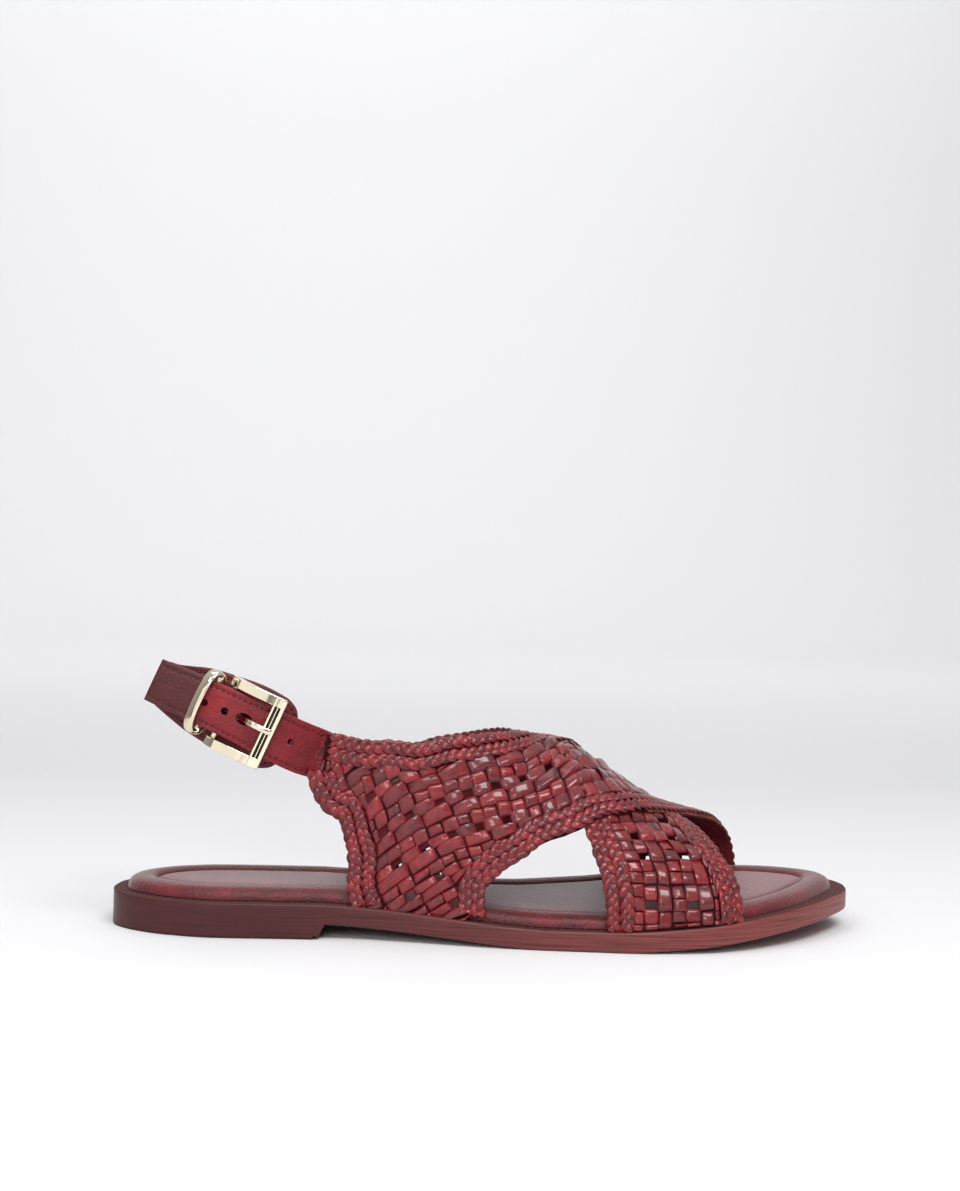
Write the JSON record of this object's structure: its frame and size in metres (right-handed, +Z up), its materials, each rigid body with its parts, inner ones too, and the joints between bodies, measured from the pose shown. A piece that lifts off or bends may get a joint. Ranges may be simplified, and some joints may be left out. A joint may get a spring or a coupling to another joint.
{
  "type": "huarache sandal",
  "caption": "Flat open-toe huarache sandal with crossed woven leather bands, a buckled sling strap, a padded footbed and a low stacked heel.",
  "frame": {"origin": "middle of the flat underside of the heel, on the ground", "axes": "+X towards the toe, +Y towards the inner side of the foot, +Z up"},
  "size_m": [0.25, 0.0928, 0.0887],
  "materials": {
    "outsole": "satin, dyed dark burgundy with fine streaks",
    "insole": "soft fine-grained leather over foam, semi-matt",
    "upper": "glossy woven strips with fine grain",
    "strap": "smooth dyed leather, satin, stitched edges",
    "sling": "smooth dyed leather, satin, stitched edges",
    "buckle": "polished pale gold plating"
  },
  "bodies": {
    "root": {"outsole": "outsole", "insole": "insole", "upper": "upper", "front_strap": "strap", "rear_strap": "sling", "chape": "sling", "buckle_frame": "buckle", "buckle_prong": "buckle", "keeper": "buckle"}
  },
  "joints": []
}
